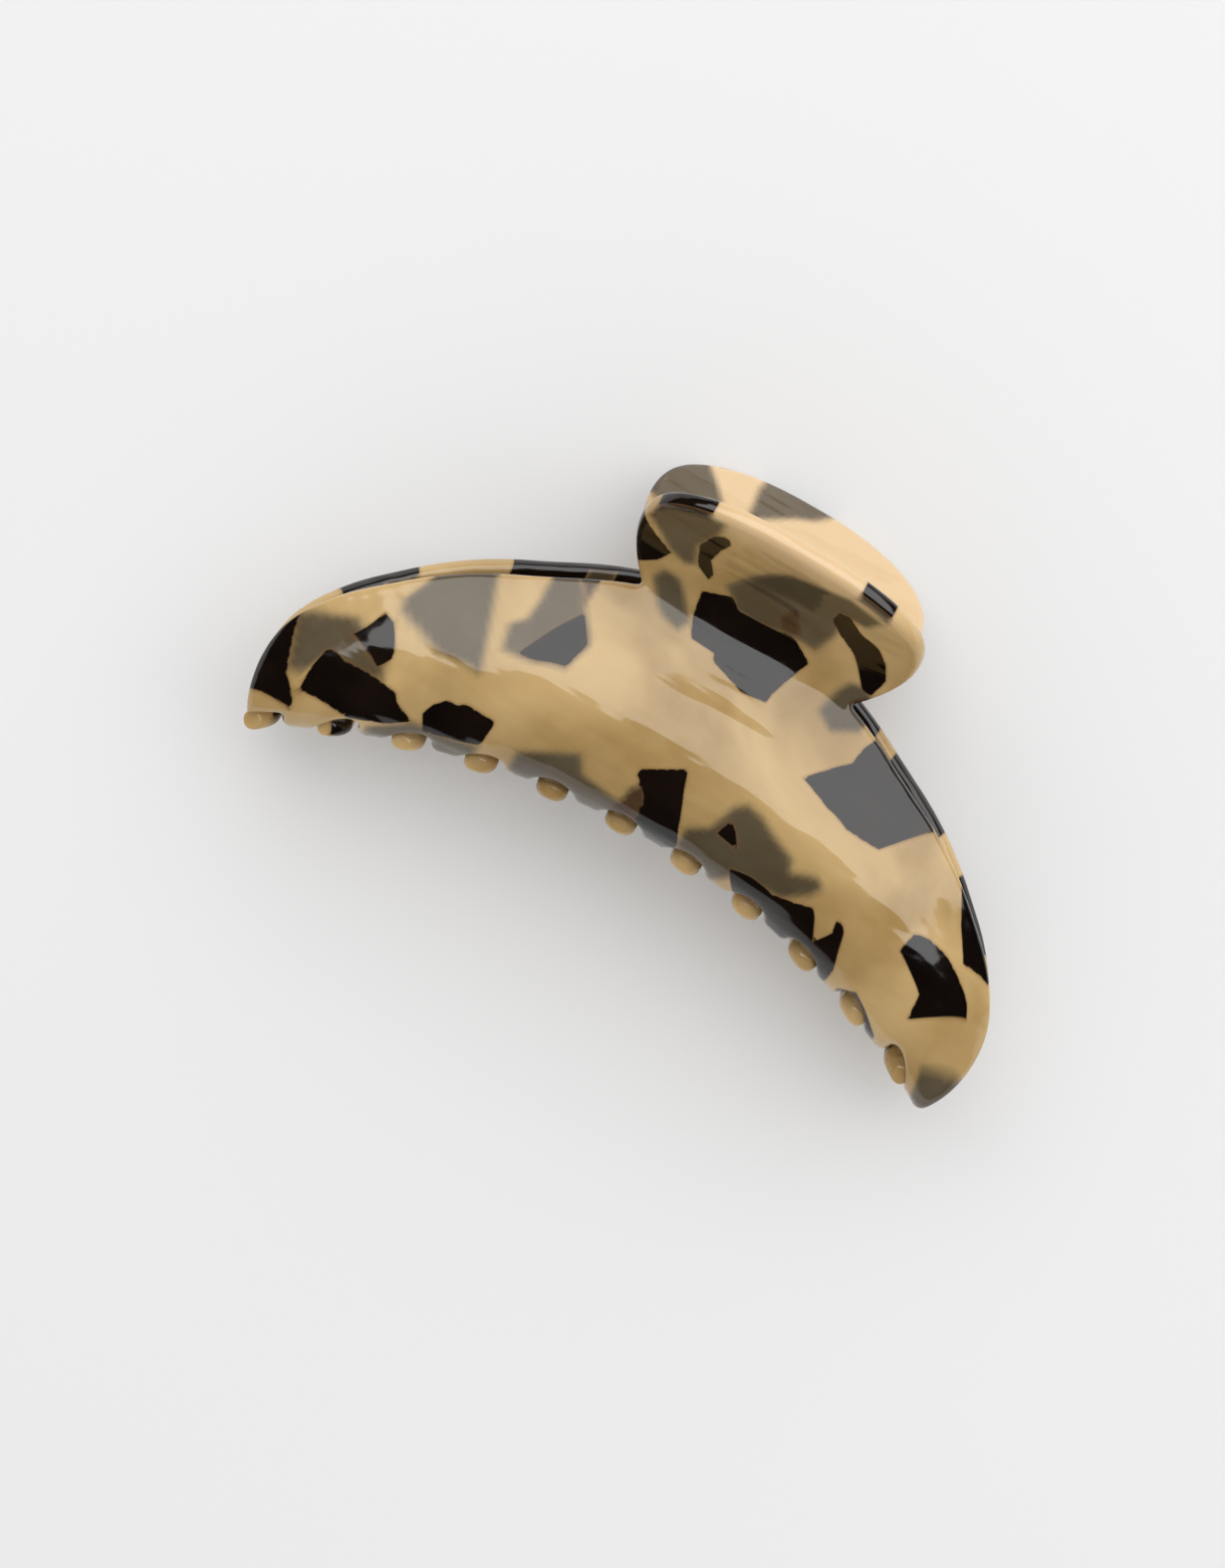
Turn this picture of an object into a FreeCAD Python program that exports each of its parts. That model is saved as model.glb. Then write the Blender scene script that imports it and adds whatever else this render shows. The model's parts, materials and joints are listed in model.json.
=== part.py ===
import FreeCAD, Part

import math
import os

# A claw clip for hair. Two identical crescent jaws are bent from one thickness of sheet and
# face each other across a mid-plane. A steel hinge sits between their necks, and its torsion
# spring pushes the two thumb tabs apart, which holds the interlaced teeth closed.
#
# Each jaw is worked out in clip axes: X runs along the crescent, Y runs up towards the thumb
# tabs ("up"), and Z runs from the mid-plane out through the front jaw ("out"). The whole clip
# is then tilted about X, so that it lies on the rear jaw's belly and the rear tab's lip.

Vector = FreeCAD.Vector
X_AXIS = Vector(1, 0, 0)

SHEET_CELLS = {
    # jaws
    "sheet_thickness": 2.8,
    "rim_half_width": 57.0,      # half-axes and centre of the ellipse that the convex rim follows
    "rim_half_height": 44.9,
    "rim_centre_up": -18.1,
    "tooth_edge_radius": 101.0,  # the concave edge is an arc of this radius
    "tooth_edge_up": -2.1,
    "belly_half_width": 58.0,    # how far out the sheet bulges, and where the bulge would end
    "belly_out": 15.3,
    "belly_end_out": 2.0,
    "curl_share": 0.55,          # the part of the bulge that the lower curl takes up
    "crest_share": 0.36,         # where the bulge is fullest, from the concave edge to the rim
    "rim_out": 7.6,
    "end_out": 1.6,
    "end_start": 44.0,           # the rounded end: a Bezier curve that leaves the rim here
    "end_handle_x": 46.2,
    "end_handle_up": 8.3,
    "end_swell_x": 62.3,
    "end_swell_up": -2.6,
    "end_swell_out": 3.5,
    "end_foot_x": 50.6,
    "end_foot_up": -18.2,
    "end_foot_out": 5.0,
    "crescent_lean": 28.0,       # the slope that the crescent's cut edges are square to
    # the neck: half its width, where it has turned into the rim, and its narrowest place
    "neck_half_width": 16.0,
    "neck_blend_end": 26.0,
    "neck_sweep": 2.1,
    "sweep_start": 12.0,
    "sweep_end": 30.0,
    "waist_up": 27.8,
    "waist_drop": 0.75,
    "waist_above_rim": 3.6,
    # thumb tabs
    "lip_out": 22.1,
    "lip_up": 44.0,
    "tab_rise_handle": 6.2,
    "lip_handle_out": 7.65,
    "lip_handle_up": 4.8,
    "tab_half_width": 20.7,
    "tab_half_height": 13.6,
    "tab_centre_rise": 8.3,
    # teeth
    "tooth_count": 11,
    "tooth_pitch": 10.1,
    "gullet_width": 5.7,
    "tooth_reach": 0.6,          # how far a tooth goes past the mid-plane, as a share of the bulge
    "tooth_droop": 1.6,          # how far a tooth falls over this run
    "tooth_droop_run": 24.0,
    "tooth_tip_radius": 1.75,
    # hinge
    "axis_up": 27.2,
    "pin_radius": 0.9,
    "pin_head_radius": 1.4,
    "pin_head_height": 0.6,
    "running_clearance": 0.05,
    "leaf_thickness": 0.8,
    "leaf_seat_out": 5.8,
    "front_leaf_half_width": 8.2,
    "ear_gap": 0.1,
    "ear_radius": 2.2,
    "seat_margin": 0.3,
    "rivet_offset": 5.6,
    "rivet_radius": 1.0,
    "rivet_depth": 1.7,
    "rivet_head_radius": 1.7,
    "rivet_head_height": 0.5,
    # spring
    "wire_radius": 0.5,
    "coil_radius": 2.2,
    "coil_turns": 9,
    "coil_pitch": 1.08,
    "spring_lean": 31.0,
    "spring_leg": 8.6,
    # the lie of the whole clip
    "lie_angle": 10.0,
}

doc = FreeCAD.newDocument("claw_clip")
sheet = doc.addObject("Spreadsheet::Sheet", "sizes")
for row, (alias, number) in enumerate(SHEET_CELLS.items(), start=1):
    sheet.set(f"A{row}", alias)
    sheet.set(f"B{row}", str(number))
    sheet.setAlias(f"B{row}", alias)
doc.recompute()


def size(alias):
    return float(sheet.get(alias))


HALF_SHEET = size("sheet_thickness") / 2
STATION_END = 56.0       # the lofted blank runs a little past the finished ends
STATIONS = 41
RIM_STEPS = 10           # spans of the rim's spline on each side
SECTION_STEPS = (8, 5, 8, 9)
BODY_HANDLES = (0.45, 0.35)  # Bezier handles of the body, as shares of its rise
ROOT_PLACE = 0.12        # where on the curl the round end of a gullet is centred
END_PLACE = 0.42         # where on the curl the sheet stops beyond the last tooth
SLOT_DEPTH = 14.0
SLOT_LENGTH = 40.0
CRESCENT_REACH = 45.0    # half-lengths of the prisms that cut the outline
TAB_REACH = 30.0
FLOOR = -60.0            # well below every tooth
SEAT_DEPTH = 4.0
ROUND = 0.5523           # Bezier handle that makes a quarter of an ellipse


# ---------------------------------------------------------------- the shape of a bent jaw

def smooth_step(value, low, high):
    ratio = min(max((value - low) / (high - low), 0.0), 1.0)
    return ratio * ratio * (3 - 2 * ratio)


def rim_up(x):
    """Height of the ellipse that the convex rim follows."""
    ratio = x / size("rim_half_width")
    return size("rim_centre_up") + size("rim_half_height") * math.sqrt(1 - ratio ** 2)


def rim_edge_up(x):
    """Height of the rim itself, which sweeps up from the ellipse into the neck."""
    sweep = 1 - smooth_step(abs(x), size("sweep_start"), size("sweep_end"))
    return rim_up(x) + size("neck_sweep") * sweep


def edge_up(x):
    """Height of the underside of the concave, toothed edge."""
    radius = size("tooth_edge_radius")
    return size("tooth_edge_up") - (radius - math.sqrt(radius ** 2 - x ** 2))


def belly_out(x):
    """How far the middle of the sheet bulges out, falling towards the ends."""
    fall = (1 - (x / size("belly_half_width")) ** 2) ** 0.75
    return size("belly_end_out") + (size("belly_out") - size("belly_end_out")) * fall


def rim_out(x):
    """How far the middle of the sheet is from the mid-plane at the rim."""
    fall = 1 - (x / size("rim_half_width")) ** 4
    return size("end_out") + (size("rim_out") - size("end_out")) * fall


def waist_point(x):
    """The narrowest place of the neck; past the neck it follows the rim."""
    follow = smooth_step(abs(x), size("neck_half_width"), size("neck_blend_end"))
    up = size("waist_up") * (1 - follow) + (rim_up(x) + size("waist_above_rim")) * follow
    fall = 1 - (x / size("rim_half_width")) ** 4
    return rim_out(x) - size("waist_drop") * fall, up


def section_curves(x):
    """The middle of the sheet at one station, as Bezier pieces of (out, up) points."""
    belly = belly_out(x)
    low = edge_up(x) + HALF_SHEET
    curl = size("curl_share") * belly
    crest = low + size("crest_share") * (rim_up(x) - low)
    waist_o, waist_u = waist_point(x)
    tip_o = -tooth_tip_out(x)
    bend_o = belly - curl
    tip_u = low - size("tooth_droop") * (bend_o - tip_o) / size("tooth_droop_run")
    slope = (low - tip_u) / (bend_o - tip_o)
    run = (bend_o - tip_o) / 3
    tooth = [(tip_o, tip_u), (tip_o + run, tip_u + slope * run),
             (bend_o - run, low - slope * run), (bend_o, low)]
    handle = ROUND * curl
    curl_piece = [(bend_o, low), (bend_o + handle, low + slope * handle),
                  (belly, crest - ROUND * (crest - low)), (belly, crest)]
    rise = waist_u - crest
    body = [(belly, crest), (belly, crest + BODY_HANDLES[0] * rise),
            (waist_o, waist_u - BODY_HANDLES[1] * rise), (waist_o, waist_u)]
    lip_o = waist_o + size("lip_out") - (size("rim_out") - size("waist_drop"))
    lip_u = waist_u + size("lip_up") - size("waist_up")
    tab = [(waist_o, waist_u), (waist_o, waist_u + size("tab_rise_handle")),
           (lip_o - size("lip_handle_out"), lip_u - size("lip_handle_up")), (lip_o, lip_u)]
    return [tooth, curl_piece, body, tab]


def tooth_tip_out(x):
    """How far a tooth reaches past the mid-plane, towards the other jaw's outside."""
    return size("tooth_reach") * (belly_out(x) + HALF_SHEET)


def bezier(points, t):
    """Point and unit tangent of a cubic Bezier curve in the (out, up) plane."""
    s = 1 - t
    weights = (s ** 3, 3 * s * s * t, 3 * s * t * t, t ** 3)
    rates = (-3 * s * s, 3 * s * s - 6 * s * t, 6 * s * t - 3 * t * t, 3 * t * t)
    point = [sum(w * p[axis] for w, p in zip(weights, points)) for axis in (0, 1)]
    rate = [sum(r * p[axis] for r, p in zip(rates, points)) for axis in (0, 1)]
    length = math.hypot(*rate)
    return point, (rate[0] / length, rate[1] / length)


def section_points(x, offset):
    """Points of the sheet's outer (+) or inner (-) face at one station."""
    points = []
    for piece, steps in zip(section_curves(x), SECTION_STEPS):
        for step in range(steps):
            (out, up), (tangent_out, tangent_up) = bezier(piece, step / steps)
            points.append(Vector(x, up - offset * tangent_out, out + offset * tangent_up))
    (out, up), (tangent_out, tangent_up) = bezier(section_curves(x)[-1], 1.0)
    points.append(Vector(x, up - offset * tangent_out, out + offset * tangent_up))
    return points


def jaw_blank():
    """The bent sheet before its outline is cut: two faces of sheet and four narrow sides."""
    stations = [STATION_END * (2 * i / (STATIONS - 1) - 1) for i in range(STATIONS)]
    grids = [[section_points(x, side * HALF_SHEET) for x in stations] for side in (1, -1)]
    faces = []
    for grid in grids:
        surface = Part.BSplineSurface()
        surface.interpolate(grid)
        faces.append(surface.toShape())
    outer, inner = faces
    shell_faces = [outer, inner]
    for outer_edge in outer.Edges:
        middle = outer_edge.valueAt((outer_edge.FirstParameter + outer_edge.LastParameter) / 2)
        inner_edge = min(inner.Edges, key=lambda edge: edge.valueAt(
            (edge.FirstParameter + edge.LastParameter) / 2).distanceToPoint(middle))
        shell_faces.append(Part.makeRuledSurface(outer_edge, inner_edge))
    shell = Part.makeShell(shell_faces)
    shell.sewShape()
    blank = Part.makeSolid(Part.Shell(shell.Faces))
    if blank.Volume < 0:
        blank.reverse()
    return blank


def prism(outline, lean, reach):
    """A prism through the sheet: its outline (x, across) is square to a leaned sheet face."""
    angle = math.radians(lean)
    across = Vector(0, math.cos(angle), -math.sin(angle))
    along = Vector(0, math.sin(angle), math.cos(angle))
    frame = FreeCAD.Matrix()
    frame.A22, frame.A32 = across.y, across.z
    frame.A23, frame.A33 = along.y, along.z
    face = Part.Face(outline)
    face.Placement = FreeCAD.Placement(frame)
    face.translate(along * -reach)
    return face.extrude(along * (2 * reach))


def crescent_prism():
    """Everything below the convex rim and between the two rounded ends."""
    angle = math.radians(size("crescent_lean"))

    def flat(x, up, out):
        return Vector(x, up * math.cos(angle) - out * math.sin(angle), 0)

    start = size("end_start")
    rim = Part.BSplineCurve()
    rim.interpolate([flat(x, rim_edge_up(x), rim_out(x))
                     for x in (start * (i / RIM_STEPS - 1) for i in range(2 * RIM_STEPS + 1))])
    edges = [rim.toShape()]
    for side in (1, -1):
        poles = [flat(side * start, rim_edge_up(start), rim_out(start)),
                 flat(side * size("end_handle_x"), size("end_handle_up"), rim_out(start)),
                 flat(side * size("end_swell_x"), size("end_swell_up"), size("end_swell_out")),
                 flat(side * size("end_foot_x"), size("end_foot_up"), size("end_foot_out"))]
        end = Part.BezierCurve()
        end.setPoles(poles)
        low_corner = Vector(poles[-1].x, FLOOR, 0)
        edges += [end.toShape(), Part.makeLine(poles[-1], low_corner)]
    edges.append(Part.makeLine(edges[2].Vertexes[-1].Point, edges[4].Vertexes[-1].Point))
    outline = Part.Wire(Part.__sortEdges__(edges))
    return prism(outline, size("crescent_lean"), CRESCENT_REACH)


def tab_prism():
    """The elliptical outline of a thumb tab, square to the tab's mean slope."""
    waist_o, waist_u = waist_point(0)
    chord = Vector(0, size("lip_up") - waist_u, size("lip_out") - waist_o)
    lean = -math.degrees(math.atan2(chord.z, chord.y))
    angle = math.radians(lean)
    waist_across = waist_u * math.cos(angle) - waist_o * math.sin(angle)
    centre = Vector(0, waist_across + size("tab_centre_rise"), 0)
    ellipse = Part.Ellipse(centre, size("tab_half_width"), size("tab_half_height"))
    return prism(Part.Wire(ellipse.toShape()), lean, TAB_REACH)


def arc_to_x(arc):
    radius = size("tooth_edge_radius")
    return radius * math.sin(arc / radius)


def slot_frame(x, place):
    """Where a slot's end sits on the curl of the sheet, and its directions."""
    (out, up), (tangent_out, tangent_up) = bezier(section_curves(x)[1], place)
    to_tip = Vector(0, -tangent_up, -tangent_out)
    return Vector(x, up, out), to_tip, to_tip.cross(X_AXIS)


def slot_block(x, low_x, high_x, place):
    """A block that clears the sheet from one place of the curl out past the tooth tips."""
    root, to_tip, normal = slot_frame(x, place)
    corner = root - normal * SLOT_DEPTH + X_AXIS * (low_x - x)
    wide, long = X_AXIS * (high_x - low_x), to_tip * SLOT_LENGTH
    base = Part.makePolygon([corner, corner + wide, corner + wide + long, corner + long, corner])
    return Part.Face(base).extrude(normal * (2 * SLOT_DEPTH))


def gullet_tool(arc):
    """A U-shaped slot between two teeth, cut square to the sheet at its root."""
    x = arc_to_x(arc)
    half_width = gullet_half_width(arc)
    root, to_tip, normal = slot_frame(x, ROOT_PLACE)
    end = Part.makeCylinder(half_width, 2 * SLOT_DEPTH, root - normal * SLOT_DEPTH, normal)
    return slot_block(x, x - half_width, x + half_width, ROOT_PLACE).fuse(end)


def end_tool(arc, side):
    """Clears the sheet beyond the last tooth at one end."""
    x = arc_to_x(arc)
    near = x - side * gullet_half_width(arc)
    far = side * (STATION_END + 2)
    return slot_block(near + side, min(near, far), max(near, far), END_PLACE)


def gullet_half_width(arc):
    return size("gullet_width") / 2 * math.cos(arc / size("tooth_edge_radius"))


def gullet_arcs():
    """Arc places of the gullets; the teeth sit half a pitch away from them."""
    pitch = size("tooth_pitch")
    half_count = int(size("tooth_count")) // 2
    return [pitch * k - pitch / 4 for k in range(-half_count, half_count + 2)]


def round_tooth_tips(jaw):
    """Rounds the two short corner edges of every tooth tip."""
    corners = []
    for edge in jaw.Edges:
        first, last = edge.Vertexes[0].Point, edge.Vertexes[-1].Point
        middle = (first + last) * 0.5
        thick = abs((last - first).Length - size("sheet_thickness")) < 0.3
        at_tip = abs(middle.z + tooth_tip_out(middle.x)) < 0.6
        if thick and at_tip and abs(first.x - last.x) < 0.1:
            corners.append(edge)
    return jaw.makeFillet(size("tooth_tip_radius"), corners)


def jaw_shape():
    """One jaw: the bent sheet, cut to its outline, slotted, seated and drilled."""
    outline = crescent_prism().fuse(tab_prism())
    jaw = jaw_blank().common(outline)
    arcs = gullet_arcs()
    tools = [gullet_tool(arc) for arc in arcs[1:-1]]
    jaw = jaw.cut(tools + [end_tool(arcs[0], -1), end_tool(arcs[-1], 1)])
    jaw = round_tooth_tips(max(jaw.Solids, key=lambda solid: solid.Volume))
    seat_half = (size("front_leaf_half_width") + size("leaf_thickness") + size("ear_gap")
                 + size("seat_margin"))
    seat_height = 2 * (size("ear_radius") + size("seat_margin"))
    seat = Part.makeBox(2 * seat_half, seat_height, SEAT_DEPTH, Vector(
        -seat_half, size("axis_up") - seat_height / 2, size("leaf_seat_out") - SEAT_DEPTH))
    holes = [Part.makeCylinder(
        size("rivet_radius"), size("rivet_depth"),
        Vector(side * size("rivet_offset"), size("axis_up"), size("leaf_seat_out")), Vector(0, 0, 1))
        for side in (-1, 1)]
    jaw = jaw.cut([seat] + holes)
    return max(jaw.Solids, key=lambda solid: solid.Volume)


# ---------------------------------------------------------------- the document's pieces

# The clip lies tilted about X; the rear jaw and its leaf are the front ones turned half round.
FRONT_TURN = FreeCAD.Rotation(X_AXIS, size("lie_angle"))
REAR_TURN = FRONT_TURN.multiply(FreeCAD.Rotation(Vector(0, 1, 0), 180))
NODES = []


def bind(item, **expressions):
    """Binds properties of a document object to expressions of the sheet's aliases."""
    for name, expression in expressions.items():
        item.setExpression(name.replace("__", "."), expression)
    return item


def solid_box(name, length, width, height, base_x, base_y, base_z):
    """A box whose sizes and low corner are expressions."""
    box = doc.addObject("Part::Box", name)
    return bind(box, Length=length, Width=width, Height=height,
                Placement__Base__x=base_x, Placement__Base__y=base_y, Placement__Base__z=base_z)


def solid_cylinder(name, radius, length, base_x, base_y, base_z, along_x=False):
    """A cylinder along Z, or along X, whose sizes and start are expressions."""
    cylinder = doc.addObject("Part::Cylinder", name)
    if along_x:
        cylinder.Placement.Rotation = FreeCAD.Rotation(Vector(0, 1, 0), 90)
    return bind(cylinder, Radius=radius, Height=length,
                Placement__Base__x=base_x, Placement__Base__y=base_y, Placement__Base__z=base_z)


def fused(name, pieces):
    fuse = doc.addObject("Part::MultiFuse", name)
    fuse.Shapes = pieces
    return fuse


def subtracted(name, base, tool):
    cut = doc.addObject("Part::Cut", name)
    cut.Base, cut.Tool = base, tool
    return cut


def node(item, label, turn):
    """Names a finished piece and lets it take part in the assembly."""
    item.Label = label
    item.Placement = FreeCAD.Placement(Vector(), turn)
    NODES.append(item)
    return item


def add_jaw(label, turn):
    jaw = doc.addObject("Part::Feature", label)
    jaw.Shape = JAW
    return node(jaw, label, turn)


def add_leaf(side, half_width, pin_hole, turn):
    """A hinge leaf: a plate on the jaw's inner face with an ear at each end for the pin."""
    thick = "sizes.leaf_thickness"
    low = "sizes.axis_up - sizes.ear_radius"
    high = "2 * sizes.ear_radius"
    plate = solid_box(f"{side}_plate", f"2 * ({half_width})", high, thick,
                      f"-({half_width})", low, f"sizes.leaf_seat_out - {thick}")
    pieces = [plate]
    for hand, start in (("left", f"-({half_width})"), ("right", f"({half_width}) - {thick}")):
        pieces.append(solid_box(f"{side}_{hand}_ear", thick, high, f"sizes.leaf_seat_out - {thick}",
                                start, low, "0"))
        pieces.append(solid_cylinder(f"{side}_{hand}_ear_end", "sizes.ear_radius", thick,
                                     start, "sizes.axis_up", "0", along_x=True))
    body = fused(f"{side}_leaf_body", pieces)
    bores = [solid_cylinder(f"{side}_pin_bore", pin_hole, f"4 * ({half_width})",
                            f"-2 * ({half_width})", "sizes.axis_up", "0", along_x=True)]
    for hand, sign in (("left", "-"), ("right", "")):
        bores.append(solid_cylinder(f"{side}_{hand}_rivet_bore", "sizes.rivet_radius",
                                    "2 * sizes.leaf_thickness", f"{sign}sizes.rivet_offset",
                                    "sizes.axis_up", f"sizes.leaf_seat_out - 1.5 * {thick}"))
    leaf = subtracted(f"{side}_leaf_cut", body, fused(f"{side}_leaf_bores", bores))
    return node(leaf, f"{side}_hinge_leaf", turn)


def add_rivets(side, turn):
    """Two blind rivets that hold a leaf to its jaw, as a group of separate solids."""
    rivets = []
    inner_face = "sizes.leaf_seat_out - sizes.leaf_thickness"
    for hand, sign in (("left", "-"), ("right", "")):
        place = (f"{sign}sizes.rivet_offset", "sizes.axis_up")
        shank = solid_cylinder(f"{side}_{hand}_shank", "sizes.rivet_radius",
                               "sizes.leaf_thickness + sizes.rivet_depth", *place, inner_face)
        head = solid_cylinder(f"{side}_{hand}_head", "sizes.rivet_head_radius",
                              "sizes.rivet_head_height", *place,
                              f"{inner_face} - sizes.rivet_head_height")
        rivets.append(fused(f"{side}_{hand}_rivet", [shank, head]))
    group = doc.addObject("Part::Compound", f"{side}_rivets")
    group.Links = rivets
    return node(group, f"{side}_leaf_rivets", turn)


def add_pin(turn):
    """The hinge pin: a shank with a peened head at each end, outside the rear leaf's ears."""
    shank_length = "2 * (sizes.front_leaf_half_width + sizes.leaf_thickness + sizes.ear_gap)"
    place = ("sizes.axis_up", "0")
    pieces = [solid_cylinder("pin_shank", "sizes.pin_radius", shank_length,
                             f"-({shank_length}) / 2", *place, along_x=True)]
    for hand, start in (("left", f"-({shank_length}) / 2 - sizes.pin_head_height"),
                        ("right", f"({shank_length}) / 2")):
        pieces.append(solid_cylinder(f"pin_{hand}_head", "sizes.pin_head_radius",
                                     "sizes.pin_head_height", start, *place, along_x=True))
    return node(fused("pin_body", pieces), "hinge_pin", turn)


def spring_shape():
    """A torsion spring about the pin; each leg leaves the coil towards one thumb tab."""
    radius, pitch = size("coil_radius"), size("coil_pitch")
    lean = math.radians(size("spring_lean"))
    turns = size("coil_turns") + 1 - (180 + 2 * size("spring_lean")) / 360
    length = turns * pitch
    start_angle = math.pi + lean
    first = Vector(0, math.sin(start_angle), math.cos(start_angle))
    second = Vector(0, math.cos(start_angle), -math.sin(start_angle))
    third = first.cross(second)
    frame = FreeCAD.Matrix(first.x, second.x, third.x, length / 2,
                           first.y, second.y, third.y, size("axis_up"),
                           first.z, second.z, third.z, 0, 0, 0, 0, 1)
    coil = Part.makeHelix(pitch, length, radius)
    coil.transformShape(frame)
    slope = pitch / (2 * math.pi * radius)
    leg = size("spring_leg")

    def on_coil(angle):
        radial = Vector(0, math.sin(angle), math.cos(angle))
        forward = Vector(-slope, math.cos(angle), -math.sin(angle)).normalize()
        return radial * radius + Vector(0, size("axis_up"), 0), forward

    rear_foot, rear_way = on_coil(start_angle)
    front_foot, front_way = on_coil(-lean)
    rear_foot += X_AXIS * (length / 2)
    front_foot -= X_AXIS * (length / 2)
    rear_leg = Part.makeLine(rear_foot - rear_way * leg, rear_foot)
    front_leg = Part.makeLine(front_foot, front_foot + front_way * leg)
    path = Part.Wire([rear_leg] + coil.Edges + [front_leg])
    wire_end = Part.Wire(Part.makeCircle(size("wire_radius"), rear_foot - rear_way * leg, rear_way))
    return path.makePipeShell([wire_end], True, True)


def add_spring(turn):
    spring = doc.addObject("Part::Feature", "torsion_spring")
    spring.Shape = spring_shape()
    return node(spring, "torsion_spring", turn)


def settle():
    """Moves the whole clip so that it stands on Z = 0 with its box centred over the origin."""
    doc.recompute()
    box = Part.makeCompound([item.Shape for item in NODES]).optimalBoundingBox(False)
    shift = Vector(-(box.XMin + box.XMax) / 2, -(box.YMin + box.YMax) / 2, -box.ZMin)
    for item in NODES:
        item.Placement.Base = shift
    doc.recompute()
    return shift


def check_document():
    for item in doc.Objects:
        if "Invalid" in item.State or "Error" in item.State:
            raise RuntimeError(f"{item.Label} is in state {item.State}")
    for item in NODES:
        if item.Shape.isNull() or not item.Shape.isValid():
            raise RuntimeError(f"{item.Label} has no valid shape")


JAW = jaw_shape()
add_jaw("front_jaw", FRONT_TURN)
add_jaw("rear_jaw", REAR_TURN)
add_leaf("front", "sizes.front_leaf_half_width",
         "sizes.pin_radius + sizes.running_clearance", FRONT_TURN)
add_leaf("rear", "sizes.front_leaf_half_width + sizes.leaf_thickness + sizes.ear_gap",
         "sizes.pin_radius", REAR_TURN)
add_rivets("front", FRONT_TURN)
add_rivets("rear", REAR_TURN)
add_pin(FRONT_TURN)
add_spring(FRONT_TURN)
shift = settle()
check_document()

os.makedirs("parts", exist_ok=True)
for item in NODES:
    item.Shape.exportStep(f"parts/{item.Label}.step")
    print(item.Label, len(item.Shape.Solids), "solid(s)", round(item.Shape.Volume, 1), "mm3")
axis_point = FRONT_TURN.multVec(Vector(0, size("axis_up"), 0)) + shift
print("hinge axis passes through", axis_point)
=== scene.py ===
import json
import math
import random

import bmesh
import bpy
import numpy as np
from mathutils import Matrix, Vector
from mathutils.geometry import delaunay_2d_cdt


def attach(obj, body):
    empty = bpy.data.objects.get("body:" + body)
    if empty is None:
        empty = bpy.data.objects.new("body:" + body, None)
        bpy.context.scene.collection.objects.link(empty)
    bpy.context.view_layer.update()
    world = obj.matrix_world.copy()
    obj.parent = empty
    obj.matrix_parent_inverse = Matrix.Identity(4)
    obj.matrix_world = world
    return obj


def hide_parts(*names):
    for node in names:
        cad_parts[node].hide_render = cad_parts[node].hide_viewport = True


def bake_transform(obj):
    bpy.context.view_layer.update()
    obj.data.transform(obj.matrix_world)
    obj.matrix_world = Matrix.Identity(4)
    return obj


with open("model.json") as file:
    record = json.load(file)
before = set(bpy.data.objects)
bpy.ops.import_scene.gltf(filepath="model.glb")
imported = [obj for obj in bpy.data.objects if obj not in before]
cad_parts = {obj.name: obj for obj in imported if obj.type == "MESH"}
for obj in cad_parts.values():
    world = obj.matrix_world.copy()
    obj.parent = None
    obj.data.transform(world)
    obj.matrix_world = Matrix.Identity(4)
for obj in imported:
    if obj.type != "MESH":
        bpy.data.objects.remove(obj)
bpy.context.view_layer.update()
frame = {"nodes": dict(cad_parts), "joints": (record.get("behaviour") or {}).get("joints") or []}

MM = 0.001

# A claw clip of tortoise-pattern acetate, lying on its rear jaw. The two jaws are rebuilt here
# as finely divided sheets with polished round edges, from the same section rules as the CAD
# jaws. Lengths are in millimetres in the clip's own axes until a mesh is made: x along the
# crescent, "up" towards the thumb tabs, "out" from the mid-plane through the front jaw, and
# "along" for the place on a jaw's section, measured on the sheet from the waist of the neck.

LIE = math.radians(10.0)         # how far the mid-plane is tilted towards the tabs
AXIS_UP = 27.2                   # height of the hinge pin in clip axes
SHEET = 2.8
HALF = SHEET / 2
EDGE_ROUND = 1.15                # radius that polishing leaves on the sheet's edges
RIM_HALF_WIDTH, RIM_HALF_HEIGHT, RIM_CENTRE = 57.0, 44.9, -18.1
TOOTH_EDGE_RADIUS, TOOTH_EDGE_UP = 101.0, -2.1
BELLY_OUT, RIM_OUT, END_OUT = 15.3, 7.6, 1.6
BELLY_HALF_WIDTH, BELLY_POWER = 58.0, 0.75
BELLY_END_OUT = END_OUT + 0.4
CURL_SHARE, CREST_SHARE = 0.55, 0.36      # of the belly's depth, and of the crescent's height
BODY_HANDLES = 0.45, 0.35                 # shares of the rise from the crest to the waist
NECK_HALF_WIDTH, NECK_BLEND_END = 16.0, 26.0
NECK_SWEEP, SWEEP_START, SWEEP_END = 2.1, 12.0, 30.0
WAIST_UP, WAIST_DROP, WAIST_ABOVE_RIM = 27.8, 0.75, 3.6
LIP_OUT, LIP_UP = 22.1, 44.0
TAB_RISE_HANDLE, LIP_HANDLE_OUT, LIP_HANDLE_UP = 6.2, 7.65, 4.8
TOOTH_PITCH, GULLET_WIDTH = 10.1, 5.7
TOOTH_REACH, TOOTH_DROOP, TOOTH_DROOP_RUN = 0.6, 1.6, 24.0
BEZIER_ROUND = 0.5523            # handle that makes a quarter of an ellipse


# ------------------------------------------------------------------ the shape of a bent jaw

def rim_up(x):
    """Height of the crescent's convex rim."""
    return RIM_CENTRE + RIM_HALF_HEIGHT * np.sqrt(1 - (x / RIM_HALF_WIDTH) ** 2)


def rim_edge_up(x):
    """Height of the rim as cut, which sweeps up a little into the neck."""
    return rim_up(x) + NECK_SWEEP * (1 - smooth_step(np.abs(x), SWEEP_START, SWEEP_END))


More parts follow.
